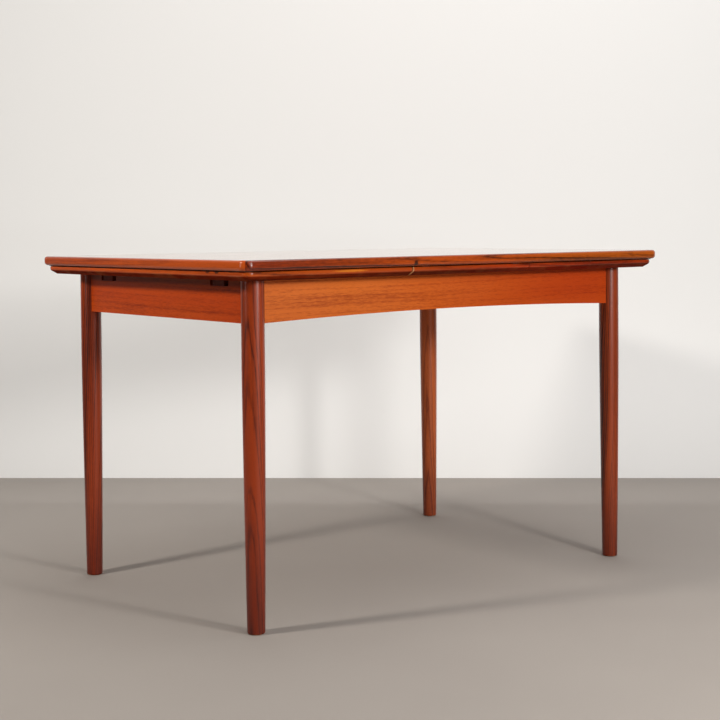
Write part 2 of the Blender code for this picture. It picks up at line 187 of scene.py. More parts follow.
def build_timber_figure():
    """Growth rings round a distant pith, fibres and open pores. The grain runs along the vector's X."""
    group, g, given, out = new_group(
        "timber_figure",
        [("Vector", "Vector", None), ("Ring Spacing", "Float", 0.006), ("Tilt", "Float", 0.03),
         ("Waviness", "Float", 0.02), ("Contrast", "Float", 0.6), ("Bands", "Float", 0.5),
         ("Flecks", "Float", 0.5), ("Pore Amount", "Float", 0.5),
         ("Light", "Color", (1, 1, 1, 1)), ("Middle", "Color", (1, 1, 1, 1)),
         ("Dark", "Color", (1, 1, 1, 1))],
        [("Colour", "Color"), ("Fibre", "Float"), ("Pores", "Float")])
    vector = given["Vector"]
    x, y, z = g.parts(vector)
    drift = g.noise(g.stretch(vector, 1.1, 5.0), detail=2.0)
    drift = g.math("MULTIPLY", g.math("SUBTRACT", drift, 0.5), given["Waviness"])
    depth = g.math("ADD", g.math("MULTIPLY", x, given["Tilt"]), z)
    radius = g.math("SQRT", g.math("ADD", g.math("MULTIPLY", y, y), g.math("MULTIPLY", depth, depth)))
    radius = g.math("ADD", radius, drift)
    waver = g.noise(g.stretch(vector, 4.0, 55.0), detail=3.0, roughness=0.6)
    phase = g.math("DIVIDE", radius, given["Ring Spacing"])
    phase = g.math("ADD", phase, g.math("MULTIPLY", waver, 1.1))
    growth = [(0.0, 0.30), (0.18, 0.05), (0.60, 0.25), (0.88, 1.0), (1.0, 0.30)]
    ring = g.ramp(g.math("FRACT", phase), growth)
    years = g.vector(g.math("MULTIPLY", x, 0.7), g.math("MULTIPLY", radius, 60.0), 0.0)
    season = g.noise(years, detail=1.0)
    ring = g.math("MULTIPLY", ring, g.remap(season, 0.30, 0.68, 0.25, 1.25))
    fibre = g.noise(g.stretch(vector, 26.0, 420.0), detail=3.0, roughness=0.65)
    streak = g.noise(g.stretch(vector, 2.2, 90.0), detail=2.0)
    tone = g.noise(g.stretch(vector, 0.8, 7.0), detail=2.0)
    fleck = g.noise(g.stretch(vector, 75.0, 480.0), detail=2.0, roughness=0.6)
    dashes = g.noise(g.stretch(vector, 95.0, 1500.0), detail=1.0)
    pores = g.remap(dashes, 0.60, 0.70)
    pores = g.math("MULTIPLY", pores, g.remap(ring, 0.0, 0.8, 0.45, 1.0))
    shade = g.math("MULTIPLY", ring, given["Contrast"])
    band = g.math("MULTIPLY", g.math("SUBTRACT", season, 0.47), 3.0)
    shade = g.math("ADD", shade, g.math("MULTIPLY", band, given["Bands"]))
    shade = g.math("ADD", shade, g.math("MULTIPLY", g.math("SUBTRACT", fibre, 0.5), 0.75))
    shade = g.math("ADD", shade, g.math("MULTIPLY", g.math("SUBTRACT", fleck, 0.5), given["Flecks"]))
    shade = g.math("ADD", shade, g.math("MULTIPLY", g.math("SUBTRACT", streak, 0.5), 0.85), clamp=True)
    base = g.blend(g.remap(tone, 0.34, 0.66), given["Light"], given["Middle"])
    colour = g.blend(shade, base, given["Dark"])
    deep = g.blend(0.75, given["Dark"], (0.02, 0.006, 0.003, 1.0))
    colour = g.blend(g.math("MULTIPLY", pores, given["Pore Amount"]), colour, deep)
    g.feed(out["Colour"], colour)
    g.feed(out["Fibre"], fibre)
    g.feed(out["Pores"], pores)
    return group


def build_edge_wear():
    """Rubbed arrises, found where the surface turns between two flat sides, broken up by noise."""
    group, g, given, out = new_group(
        "edge_wear", [("Vector", "Vector", None), ("Normal", "Vector", None), ("Breakup", "Float", 25.0)],
        [("Mask", "Float")])
    nx, ny, nz = (g.math("ABSOLUTE", part) for part in g.parts(given["Normal"]))
    turn = g.math("ADD", g.math("MULTIPLY", nx, nz), g.math("MULTIPLY", ny, nz))
    turn = g.remap(turn, 0.16, 0.46, smooth=True)
    patches = g.noise(given["Vector"], scale=given["Breakup"], detail=4.0, roughness=0.6)
    g.feed(out["Mask"], g.math("MULTIPLY", turn, g.remap(patches, 0.42, 0.66), clamp=True))
    return group


def build_handling():
    """Cloudy smears from wiping and hands, and fine specks of dust."""
    group, g, given, out = new_group(
        "handling", [("Vector", "Vector", None), ("Scale", "Float", 6.0)],
        [("Smears", "Float"), ("Specks", "Float")])
    smears = g.noise(given["Vector"], scale=given["Scale"], detail=5.0, roughness=0.62, distortion=0.6)
    g.feed(out["Smears"], g.remap(smears, 0.32, 0.70))
    specks = g.noise(given["Vector"], scale=900.0, detail=0.0)
    g.feed(out["Specks"], g.remap(specks, 0.74, 0.80))
    return group


TIMBER_FIGURE = build_timber_figure()
EDGE_WEAR = build_edge_wear()
HANDLING = build_handling()


def new_material(name):
    material = bpy.data.materials.new(name)
    material.use_nodes = True
    shader = material.node_tree.nodes["Principled BSDF"]
    return material, Graph(material.node_tree), shader


def grain_vector(g, grain, origin=(0, 0, 0), bookmatch=0.0):
    """The grain vector, with the grain turned to X and veneer book-matched if its width is given, and
    the plain place on the piece, for marks and wear."""
    place = g.add("ShaderNodeTexCoord").outputs["Object"]
    shifted = g.add("ShaderNodeVectorMath", {0: place, 1: origin}, operation="SUBTRACT").outputs[0]
    x, y, z = g.parts(shifted)
    if bookmatch:
        y = g.math("PINGPONG", g.math("ADD", y, bookmatch * 8.5), bookmatch)
        z = g.math("ADD", z, 0.035)
    order = {"X": (x, y, z), "Y": (y, x, z), "Z": (z, x, y), "XZ": (x, z, y), "YZ": (y, z, x)}[grain]
    return g.vector(*order), place


def timber(name, grain, tones, spacing=0.006, tilt=0.03, waviness=0.02, contrast=0.6, bands=0.4,
           flecks=0.5, pores=0.4, origin=(0, 0, 0), bookmatch=0.0, worn=(0.50, 0.20, 0.07), wear=0.0,
           roughness=(0.34, 0.46), specular=0.12, coat=0.8, coat_roughness=0.10, marks=(), fade=None,
           underside=None, foot_wear=0.0):
    """Lacquered or plain timber. tones are the light, middle and dark of the figure; marks are (place,
    radii, colour, amount) bruises, chips and flames; fade is (axis, start, end, tint), a change of
    colour along a board, and on the end aprons a painted shadow of the leaf across their upper edge;
    underside tints what faces down with painted shade and takes its lacquer off; foot_wear bares the
    wood near the floor."""
    material, g, shader = new_material(name)
    vector, place = grain_vector(g, grain, origin, bookmatch)
    light, middle, dark = ((*tone, 1) for tone in tones)
    figure = g.add("ShaderNodeGroup", node_tree=TIMBER_FIGURE)
    for label, value in (("Vector", vector), ("Ring Spacing", spacing), ("Tilt", tilt),
                         ("Waviness", waviness), ("Contrast", contrast), ("Bands", bands),
                         ("Flecks", flecks), ("Pore Amount", pores), ("Light", light),
                         ("Middle", middle), ("Dark", dark)):
        g.feed(figure.inputs[label], value)
    normal = g.add("ShaderNodeNewGeometry").outputs["Normal"]
    touched = g.add("ShaderNodeGroup", {"Vector": place}, node_tree=HANDLING).outputs
    colour = figure.outputs["Colour"]
    lacquer = coat
    if fade:
        axis, begin, stop, tint = fade
        along = g.remap(g.parts(place)[axis], begin, stop, smooth=True)
        colour = g.blend(along, colour, g.blend(1.0, colour, (*tint, 1), "MULTIPLY"))
    # painted shade: faces that point down are darkened by the underside tint, and their lacquer is taken
    # off
    if underside:
        down = g.remap(g.parts(normal)[2], -0.30, -0.70)
        colour = g.blend(down, colour, g.blend(1.0, colour, (*underside, 1), "MULTIPLY"))
        lacquer = g.remap(down, 0.0, 1.0, coat, 0.0)
    if wear:
        rubbed = g.add("ShaderNodeGroup", {"Vector": place, "Normal": normal}, node_tree=EDGE_WEAR)
        colour = g.blend(g.math("MULTIPLY", rubbed.outputs["Mask"], wear), colour, (*worn, 1))
    if foot_wear:
        height = g.math("ADD", g.parts(place)[2], g.math("MULTIPLY", g.noise(place, scale=140.0), 0.010))
        colour = g.blend(g.remap(height, 0.0070, 0.0045, 0.0, foot_wear), colour, (*worn, 1))
    for spot, radii, tint, amount in marks:
        away = g.add("ShaderNodeVectorMath", {0: place, 1: spot}, operation="SUBTRACT").outputs[0]
        squeezed = g.add("ShaderNodeVectorMath", {0: away, 1: radii}, operation="DIVIDE").outputs[0]
        distance = g.add("ShaderNodeVectorMath", {0: squeezed}, operation="LENGTH").outputs["Value"]
        ragged = g.math("ADD", distance, g.math("MULTIPLY", g.noise(place, scale=260.0), 0.7))
        colour = g.blend(g.remap(ragged, 0.9, 1.5, amount, 0.0), colour, (*tint, 1))
    g.feed(shader.inputs["Base Color"], colour)
    rough = g.remap(touched["Smears"], 0.0, 1.0, roughness[0], roughness[1])
    rough = g.math("ADD", rough, g.math("MULTIPLY", figure.outputs["Pores"], 0.12))
    rough = g.math("ADD", rough, g.math("MULTIPLY", touched["Specks"], 0.10))
    if underside:
        rough = g.math("ADD", rough, g.math("MULTIPLY", down, 0.45))
    g.feed(shader.inputs["Roughness"], rough)
    relief = g.math("SUBTRACT", g.math("MULTIPLY", figure.outputs["Fibre"], 0.35), figure.outputs["Pores"])
    bump = g.add("ShaderNodeBump", {"Height": relief, "Strength": 0.15, "Distance": 0.0003})
    g.feed(shader.inputs["Normal"], bump.outputs["Normal"])
    g.feed(shader.inputs["Coat Weight"], lacquer)
    shader.inputs["Coat Roughness"].default_value = coat_roughness
    shader.inputs["Specular IOR Level"].default_value = specular
    return material


def build_materials():
    leg_tones = ((0.370, 0.048, 0.006), (0.245, 0.025, 0.002), (0.050, 0.005, 0.002))
    dark_leg_tones = ((0.310, 0.044, 0.006), (0.195, 0.021, 0.002), (0.050, 0.006, 0.002))
    pale_leg_tones = ((0.580, 0.130, 0.030), (0.440, 0.078, 0.014), (0.130, 0.016, 0.004))
    front_tones = ((0.430, 0.062, 0.004), (0.210, 0.018, 0.002), (0.025, 0.003, 0.001))
    end_edge_tones = ((0.520, 0.078, 0.006), (0.400, 0.042, 0.002), (0.130, 0.012, 0.001))
    leaf_tones = ((0.480, 0.076, 0.004), (0.225, 0.019, 0.002), (0.060, 0.005, 0.001))
    leaf_end_tones = ((0.660, 0.110, 0.006), (0.520, 0.066, 0.002), (0.170, 0.016, 0.001))
    apron_tones = ((0.610, 0.142, 0.018), (0.490, 0.080, 0.007), (0.250, 0.028, 0.002))
    end_tones = ((0.570, 0.084, 0.006), (0.450, 0.042, 0.002), (0.200, 0.015, 0.001))
    veneer_tones = ((0.440, 0.140, 0.036), (0.340, 0.090, 0.020), (0.120, 0.024, 0.006))
    beech_tones = ((0.560, 0.360, 0.200), (0.480, 0.290, 0.150), (0.300, 0.160, 0.075))
    stain_tones = ((0.130, 0.018, 0.006), (0.095, 0.012, 0.004), (0.045, 0.006, 0.002))
    bruise = ((-BOARD_HALF + 0.0004, -HALF_WIDTH, TOP_UNDERSIDE + 0.0060), (0.0060, 0.02, 0.0070),
              (0.02, 0.005, 0.003), 0.9)
    splinter = ((-BOARD_HALF + 0.0005, -LEAF_HALF_WIDTH + 0.004, LEAF_TOP - 0.007),
                (0.0028, 0.020, 0.0150), (0.52, 0.26, 0.11), 0.9)
    flame = ((-0.330, -LEAF_HALF_WIDTH, LEAF_TOP - 0.0035), (0.045, 0.020, 0.0024),
             (0.72, 0.24, 0.02), 0.6)
    chips = [((-LEAF_OUTER_X, y, LEAF_TOP), (0.010, 0.0085, 0.0050), (0.03, 0.008, 0.004), 0.95)
             for y in (-0.270, -0.302)]
    # painted shade for the down-facing bevel of the leaves' edging
    underside_painted_shade = (0.42, 0.24, 0.24)
    lacquer = dict(coat=0.90, coat_roughness=0.06, specular=0.05)
    satin = dict(coat=0.35, coat_roughness=0.20)
    plain = dict(contrast=0.30, pores=0.2, coat=0.0, specular=0.3, roughness=(0.55, 0.70), spacing=0.0030)
    leg = dict(spacing=0.0046, tilt=0.085, waviness=0.045, contrast=0.85, bands=0.70, coat=0.60,
               coat_roughness=0.29, foot_wear=0.8, fade=(2, 0.26, 0.0, (0.62, 0.52, 0.55)))
    return {
        "leg": timber("teak_leg", "Z", leg_tones, **leg),
        "dark_leg": timber("teak_leg_dark", "Z", dark_leg_tones, **leg),
        "pale_leg": timber("teak_leg_pale", "Z", pale_leg_tones, **leg),
        "apron": timber("teak_long_apron", "XZ", apron_tones, spacing=0.0062, tilt=0.012, waviness=0.012,
                        contrast=0.30, bands=0.34, flecks=1.35, origin=(0, 0, 0.30),
                        fade=(0, -0.35, 0.45, (0.78, 0.43, 0.30)), **satin),
        # the end aprons' fade is a painted shadow: it darkens their upper edge, where the leaf's overhang
        # shades them
        "end_apron": timber("teak_end_apron", "YZ", end_tones, spacing=0.0070, tilt=0.012, waviness=0.012,
                            contrast=0.26, bands=0.36, flecks=1.4, origin=(0, 0, 0.26),
                            fade=(2, 0.672, 0.680, (0.42, 0.50, 0.75)), **satin),
        "top_edge_long": timber("teak_lipping_long", "X", front_tones, spacing=0.0050, contrast=0.85,
                                bands=0.8, flecks=1.0, origin=(0, 0.2, 0.5), marks=[bruise],
                                fade=(0, 0.0, 0.4, (0.95, 1.30, 0.85)), **lacquer),
        "top_edge_short": timber("teak_lipping_short", "Y", end_edge_tones, spacing=0.0050, contrast=0.35,
                                 bands=0.3, origin=(0.2, 0, 0.5), **lacquer),
        "leaf_edge_long": timber("teak_leaf_edge_long", "X", leaf_tones, spacing=0.0060, tilt=0.05,
                                 contrast=0.80, bands=0.9, flecks=0.9, origin=(0, 0.3, 0.4),
                                 marks=[flame, splinter], underside=underside_painted_shade, wear=0.1,
                                 fade=(0, -0.10, 0.25, (1.9, 1.7, 1.2)), **lacquer),
        "leaf_edge_short": timber("teak_leaf_edge_short", "Y", leaf_end_tones, spacing=0.0056, contrast=0.4,
                                  bands=0.4, origin=(0.3, 0, 0.4), marks=chips, underside=underside_painted_shade,
                                  wear=0.2, **lacquer),
        "top_veneer": timber("teak_top_veneer", "X", veneer_tones, spacing=0.0075, waviness=0.020,
                             contrast=0.8, origin=(0, 0, TABLE_HEIGHT), bookmatch=TOP_VENEER_WIDTH,
                             roughness=(0.26, 0.38), coat=1.0, coat_roughness=0.05),
        "leaf_veneer": timber("teak_leaf_veneer", "X", veneer_tones, spacing=0.0070, tilt=0.035,
                              contrast=0.8, origin=(0, 0, LEAF_TOP), bookmatch=LEAF_VENEER_WIDTH,
                              **satin),
        "runner": timber("stained_runner", "X", stain_tones, origin=(0, 0.1, 0.5), **plain),
        "beech_long": timber("beech_block", "X", beech_tones, origin=(0, 0.1, 0.5), **plain),
        "beech_cross": timber("beech_rail", "Y", beech_tones, origin=(0.1, 0, 0.5), **plain),
        "steel": plated_steel(),
        "felt": wool_felt(),
    }


def plated_steel():
    material, g, shader = new_material("plated_steel")
    place = g.add("ShaderNodeTexCoord").outputs["Object"]
    touched = g.add("ShaderNodeGroup", {"Vector": place, "Scale": 90.0}, node_tree=HANDLING).outputs
    g.feed(shader.inputs["Base Color"],
           g.blend(touched["Smears"], (0.62, 0.60, 0.55, 1), (0.38, 0.35, 0.31, 1)))
    g.feed(shader.inputs["Roughness"], g.remap(touched["Smears"], 0.0, 1.0, 0.28, 0.5))
    shader.inputs["Metallic"].default_value = 1.0
    return material


def wool_felt():
    material, g, shader = new_material("wool_felt")
    place = g.add("ShaderNodeTexCoord").outputs["Object"]
    tufts = g.noise(place, scale=1400.0, detail=3.0, roughness=0.7)
    g.feed(shader.inputs["Base Color"], g.blend(tufts, (0.010, 0.009, 0.008, 1), (0.034, 0.029, 0.025, 1)))
    shader.inputs["Roughness"].default_value = 0.95
    shader.inputs["Sheen Weight"].default_value = 0.4
    bump = g.add("ShaderNodeBump", {"Height": tufts, "Strength": 0.6, "Distance": 0.0006})
    g.feed(shader.inputs["Normal"], bump.outputs["Normal"])
    return material


# ---------------------------------------------------------------- modelling helpers
def start_cube(name, low, high):
    """A block from corner to corner, left active in object mode with its place in its mesh."""
    bpy.ops.object.select_all(action="DESELECT")
    size = [b - a for a, b in zip(low, high)]
    centre = [(a + b) / 2 for a, b in zip(low, high)]
    bpy.ops.mesh.primitive_cube_add(size=1, location=centre, scale=size)
    piece = bpy.context.object
    piece.name = piece.data.name = name
    bpy.ops.object.transform_apply(location=True, rotation=True, scale=True)
    return piece


def work_on(piece):
    bpy.ops.object.select_all(action="DESELECT")
    bpy.context.view_layer.objects.active = piece
    piece.select_set(True)


def edit(piece):
    work_on(piece)
    bpy.ops.object.mode_set(mode="EDIT")


def leave_edit():
    bpy.ops.object.mode_set(mode="OBJECT")


def choose(kind, test):
    """Selects the verts, edges or faces of the piece in edit mode that pass the test."""
    bpy.ops.mesh.select_mode(type={"verts": "VERT", "edges": "EDGE", "faces": "FACE"}[kind])
    bpy.ops.mesh.select_all(action="DESELECT")
    mesh = bmesh.from_edit_mesh(bpy.context.edit_object.data)
    for item in getattr(mesh, kind):
        if test(item):
            item.select_set(True)
    if kind == "verts":
        mesh.select_flush(True)
    bmesh.update_edit_mesh(bpy.context.edit_object.data)


def upright(edge):
    a, b = (v.co for v in edge.verts)
    return abs(a.x - b.x) < 1e-6 and abs(a.y - b.y) < 1e-6


def at_height(edge, height):
    return all(abs(v.co.z - height) < 1e-6 for v in edge.verts)


def apply_modifier(piece, kind, **settings):
    work_on(piece)
    modifier = piece.modifiers.new(kind.lower(), kind)
    for name, value in settings.items():
        setattr(modifier, name, value)
    bpy.ops.object.modifier_apply(modifier=modifier.name)


def ease_edges(piece, width, segments=2, angle=35):
    apply_modifier(piece, "BEVEL", width=width, segments=segments, limit_method="ANGLE",
                   angle_limit=math.radians(angle), miter_outer="MITER_ARC")


def smooth(piece, angle=40):
    """Smooth shading that keeps the broad flats flat."""
    work_on(piece)
    bpy.ops.object.shade_smooth_by_angle(angle=math.radians(angle))
    apply_modifier(piece, "WEIGHTED_NORMAL", keep_sharp=True, weight=80)


def copy_of(piece, name):
    twin = piece.copy()
    twin.data = piece.data.copy()
    twin.name = twin.data.name = name
    bpy.context.collection.objects.link(twin)
    return twin


def saw(piece, point, normal):
    """Cuts the piece by a plane, keeps the side the normal points away from, and closes the cut."""
    edit(piece)
    bpy.ops.mesh.select_all(action="SELECT")
    bpy.ops.mesh.bisect(plane_co=point, plane_no=normal, use_fill=True, clear_outer=True)
    leave_edit()


def close_up():
    """Bridges the open edges of the piece in edit mode and points its faces outwards."""
    choose("edges", lambda e: e.is_boundary)
    bpy.ops.mesh.bridge_edge_loops()
    bpy.ops.mesh.select_all(action="SELECT")
    bpy.ops.mesh.normals_make_consistent(inside=False)


def discard(piece):
    bpy.data.objects.remove(piece, do_unlink=True)


def fit_out(piece, material, body, node):
    """Gives a finished piece its material and the body that it rides on, and hides the node it stands for.
    """
    piece.data.materials.clear()
    piece.data.materials.append(material)
    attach(piece, body)
    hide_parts(node)


# ---------------------------------------------------------------- legs
def leg_radius(height):
    """The leg is straight above the taper's start and then narrows to the foot, faster lower down."""
    fall = max(0.0, (LEG_TAPER_START - height) / LEG_TAPER_START)
    return LEG_RADIUS - (LEG_RADIUS - FOOT_RADIUS) * fall ** LEG_TAPER_POWER


def turn_leg(name, x, y):
    """A leg drawn up from its foot: a rounded floor edge, the taper, then a straight top."""
    stations = []
    for angle in (0, 22.5, 45, 67.5, 90):
        height = FOOT_ROUND * (1 - math.cos(math.radians(angle)))
        stations.append((height, FOOT_RADIUS - FOOT_ROUND * (1 - math.sin(math.radians(angle)))))
    for step in range(1, TAPER_STEPS + 1):
        height = FOOT_ROUND + (LEG_TAPER_START - FOOT_ROUND) * step / TAPER_STEPS
        stations.append((height, leg_radius(height)))
    stations += [(LEG_TOP - LEG_TOP_EASE_DOWN, LEG_RADIUS), (LEG_TOP, LEG_RADIUS - LEG_TOP_EASE_IN)]
    bpy.ops.object.select_all(action="DESELECT")
    bpy.ops.mesh.primitive_circle_add(vertices=LEG_SIDES, radius=stations[0][1], fill_type="NGON",
                                      location=(x, y, 0))
    leg = bpy.context.object
    leg.name = leg.data.name = name
    bpy.ops.object.transform_apply(location=True, rotation=True, scale=True)
    edit(leg)
    bpy.ops.mesh.select_all(action="SELECT")
    for (low, narrow), (high, wide) in zip(stations, stations[1:]):
        bpy.ops.mesh.extrude_region_move(TRANSFORM_OT_translate={"value": (0, 0, high - low)})
        ratio = wide / narrow
        bpy.ops.transform.resize(value=(ratio, ratio, 1), center_override=(x, y, high))
    bpy.ops.mesh.select_all(action="SELECT")
    bpy.ops.mesh.normals_make_consistent(inside=False)
    leave_edit()
    smooth(leg, 50)
    return leg


def build_legs(made):
    for corner, (side_x, side_y) in CORNERS.items():
        leg = turn_leg("turned_leg_" + corner, side_x * LEG_X, side_y * LEG_Y)
        finish = made[{"rear_right": "pale_leg", "front_right": "dark_leg"}.get(corner, "leg")]
        fit_out(leg, finish, "table_frame", "leg_" + corner)


# ---------------------------------------------------------------- aprons
def scribe_to_legs(piece, places):
    """Hollows the ends of a piece to sit against the round legs."""
    for x, y in places:
        bpy.ops.object.select_all(action="DESELECT")
        bpy.ops.mesh.primitive_cylinder_add(vertices=LEG_SIDES, radius=LEG_RADIUS + SCRIBE_GAP,
                                            depth=0.4, location=(x, y, APRON_TOP))
        gouge = bpy.context.object
        apply_modifier(piece, "BOOLEAN", operation="DIFFERENCE", solver="EXACT", object=gouge)
        discard(gouge)


def build_long_apron(name, side_y, made):
    """A long rail whose lower edge rises in a shallow arch."""
    end = LEG_X - LEG_RADIUS / 2
    half = APRON_THICKNESS / 2
    y = side_y * LEG_Y
    bottom = END_APRON[0].z
    apron = start_cube("long_" + name, (-end, y - half, bottom), (end, y + half, APRON_TOP))
    edit(apron)
    choose("edges", lambda e: abs(e.verts[0].co.x - e.verts[1].co.x) > end)
    bpy.ops.mesh.subdivide(number_cuts=ARCH_PARTS - 1)
    for cut in range(1, ARCH_PARTS):
        x = -end + 2 * end * cut / ARCH_PARTS
        choose("verts", lambda v: abs(v.co.x - x) < 1e-4 and v.co.z < bottom + 1e-5)
        rise = APRON_ARCH * (1 - (x / end) ** 2)
        bpy.ops.transform.translate(value=(0, 0, rise))
    leave_edit()
    scribe_to_legs(apron, [(side_x * LEG_X, y) for side_x in (-1, 1)])
    ease_edges(apron, APRON_EASE)
    smooth(apron)
    fit_out(apron, made["apron"], "table_frame", name)


def build_end_apron(name, side_x, runner, made):
    """An end rail with two notches in its upper edge, where the runners pass."""
    end = LEG_Y - LEG_RADIUS / 2
    half = APRON_THICKNESS / 2
    x = side_x * LEG_X
    apron = start_cube("plain_" + name, (x - half, -end, END_APRON[0].z), (x + half, end, APRON_TOP))
    runner_y = (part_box(runner)[0].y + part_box(runner)[1].y) / 2
    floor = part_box(runner)[0].z - NOTCH_SLACK
    for side_y in (-1, 1):
        middle = side_y * abs(runner_y)
        waste = start_cube("waste", (x - 0.03, middle - NOTCH_HALF, floor),
                           (x + 0.03, middle + NOTCH_HALF, APRON_TOP + 0.02))
        edit(waste)
        choose("edges", lambda e: at_height(e, floor) and abs(e.verts[0].co.x - e.verts[1].co.x) > 0.01)
        bpy.ops.mesh.bevel(offset=NOTCH_ROUND, segments=3)
        leave_edit()
        apply_modifier(apron, "BOOLEAN", operation="DIFFERENCE", solver="EXACT", object=waste)
        discard(waste)
    scribe_to_legs(apron, [(x, side_y * LEG_Y) for side_y in (-1, 1)])
    ease_edges(apron, APRON_EASE)
    smooth(apron)
    fit_out(apron, made["end_apron"], "table_frame", name)


def build_aprons(made):
    build_long_apron("front_apron", -1, made)
    build_long_apron("rear_apron", 1, made)
    build_end_apron("left_end_apron", -1, "left_runner_rear", made)
    build_end_apron("right_end_apron", 1, "right_runner_rear", made)


# ---------------------------------------------------------------- lippings
def inside_distance(point, half_x, half_y, radius):
    """How far a point lies inside a rounded rectangle's outline."""
    qx = abs(point.x) - (half_x - radius)
    qy = abs(point.y) - (half_y - radius)
    outside = math.hypot(max(qx, 0), max(qy, 0))
    return radius - outside - min(max(qx, qy), 0)


def round_corners(piece, radius, segments=10):
    edit(piece)
    choose("edges", upright)
    bpy.ops.mesh.bevel(offset=radius, segments=segments)
    leave_edit()


def hollow_ring(piece, top_width, bottom_width):
    """Insets the top and bottom faces by the strip's widths and opens the middle right through."""
    edit(piece)
    for side, width in ((1, top_width), (-1, bottom_width)):
        choose("faces", lambda f: side * f.normal.z > 0.99)
        bpy.ops.mesh.inset(thickness=width)
        bpy.ops.mesh.delete(type="FACE")
    close_up()
    leave_edit()


def round_outline(ring, outline, height, width, segments):
    """Rounds the ring's outer edge at one height."""
    edit(ring)
    choose("edges", lambda e: at_height(e, height)
           and all(inside_distance(v.co, *outline) < 1e-4 for v in e.verts))
    bpy.ops.mesh.bevel(offset=width, segments=segments)
    leave_edit()


def cut_mitred(ring, name, side, half_x, half_y):
    """One side of the ring, sawn off at 45 degrees through both of its corners."""
    strip = copy_of(ring, name)
    corner = {"front": (-1, -1), "right": (1, -1), "rear": (1, 1), "left": (-1, 1)}[side]
    along = {"front": (1, 0), "right": (0, 1), "rear": (-1, 0), "left": (0, -1)}[side]
    inward = Vector((-along[1], along[0], 0))
    along = Vector((*along, 0))
    start = Vector((corner[0] * half_x, corner[1] * half_y, 0))
    reach = 2 * (half_x if along.x else half_y)
    gap = HAIRLINE / 2
    for point, direction in ((start, along), (start + along * reach, -along)):
        normal = (inward - direction).normalized()
        saw(strip, point - normal * gap, normal)
    return strip


def square_off(piece, x, keep_side, ease):
    """Saws the piece square at x, keeps the side that keep_side points to, and eases the new end."""
    saw(piece, (x, 0, 0), (-keep_side, 0, 0))
    edit(piece)
    choose("edges", lambda e: all(abs(v.co.x - x) < 1e-5 for v in e.verts))
    bpy.ops.mesh.bevel(offset=ease, segments=2)
    leave_edit()


def top_ring():
    """The top's edging in one piece: rounded corners, a small round above and a larger one below."""
    low = (-HALF_LENGTH, -HALF_WIDTH, TOP_UNDERSIDE)
    ring = start_cube("top_ring", low, (HALF_LENGTH, HALF_WIDTH, TABLE_HEIGHT))
    round_corners(ring, TOP_CORNER)
    width = HALF_LENGTH - TOP_PANEL_X - HAIRLINE
    hollow_ring(ring, width, width)
    round_outline(ring, TOP_OUTLINE, TABLE_HEIGHT, TOP_UPPER_ROUND, 8)
    round_outline(ring, TOP_OUTLINE, TOP_UNDERSIDE, TOP_LOWER_ROUND, 8)
    return ring


def leaf_ring():
    """The edging of the lower layer: a low upright face above a long bevel that runs in below."""
    band_bottom = LEAF_TOP - LEAF_EDGE_HEIGHT
    low = (-LEAF_OUTER_X, -LEAF_HALF_WIDTH, band_bottom)
    ring = start_cube("leaf_ring", low, (LEAF_OUTER_X, LEAF_HALF_WIDTH, LEAF_TOP))
    round_corners(ring, LEAF_CORNER)
    edit(ring)
    choose("faces", lambda f: f.normal.z < -0.99)
    bpy.ops.mesh.inset(thickness=LEAF_BEVEL_WIDTH, depth=band_bottom - LEAF_UNDERSIDE)
    leave_edit()
    width = LEAF_HALF_WIDTH - LEAF_PANEL_Y - HAIRLINE
    hollow_ring(ring, width, width - LEAF_BEVEL_WIDTH)
    round_outline(ring, LEAF_OUTLINE, LEAF_TOP, LEAF_UPPER_EASE, 6)
    round_outline(ring, LEAF_OUTLINE, band_bottom, LEAF_LOWER_EASE, 6)
    return ring


def build_top(made):
    ring = top_ring()
    for side in ("front", "rear", "left", "right"):
        finish = "top_edge_long" if side in ("front", "rear") else "top_edge_short"
        strip = cut_mitred(ring, "edging_top_" + side, side, HALF_LENGTH, HALF_WIDTH)
        smooth(strip)
        fit_out(strip, made[finish], "loose_top", "top_lipping_" + side)
    discard(ring)
    panel = start_cube("veneered_top", (-TOP_PANEL_X, -TOP_PANEL_Y, TOP_UNDERSIDE),
                       (TOP_PANEL_X, TOP_PANEL_Y, TABLE_HEIGHT))
    round_corners(panel, TOP_CORNER - (HALF_LENGTH - TOP_PANEL_X), 6)
    ease_edges(panel, TOP_PANEL_EASE, 1)
    smooth(panel)
    fit_out(panel, made["top_veneer"], "loose_top", "top_panel")


def build_leaf(ring, side, side_x, made):
    """A leaf edged on three sides; its inner edge is plain where it meets the centre board."""
    body = side + "_leaf"
    end = cut_mitred(ring, f"edging_{side}_leaf_end", side, LEAF_OUTER_X, LEAF_HALF_WIDTH)
    smooth(end)
    fit_out(end, made["leaf_edge_short"], body, body + "_lipping_end")
    for face in ("front", "rear"):
        strip = cut_mitred(ring, f"edging_{side}_leaf_{face}", face, LEAF_OUTER_X, LEAF_HALF_WIDTH)
        square_off(strip, side_x * LEAF_INNER_X, side_x, WORN_LEAF_END if side_x < 0 else SHARP_END)
        smooth(strip)
        fit_out(strip, made["leaf_edge_long"], body, f"{body}_lipping_{face}")
    low_x, high_x = sorted((side_x * LEAF_INNER_X, side_x * LEAF_PANEL_X))
    panel = start_cube(f"veneered_{side}_leaf", (low_x, -LEAF_PANEL_Y, LEAF_UNDERSIDE),
                       (high_x, LEAF_PANEL_Y, LEAF_TOP))
    edit(panel)
    choose("edges", lambda e: upright(e) and abs(e.verts[0].co.x) > LEAF_PANEL_X - 1e-4)
    bpy.ops.mesh.bevel(offset=LEAF_CORNER - (LEAF_HALF_WIDTH - LEAF_PANEL_Y), segments=5)
    leave_edit()
    ease_edges(panel, LEAF_PANEL_EASE)
    smooth(panel)
    fit_out(panel, made["leaf_veneer"], body, body + "_panel")


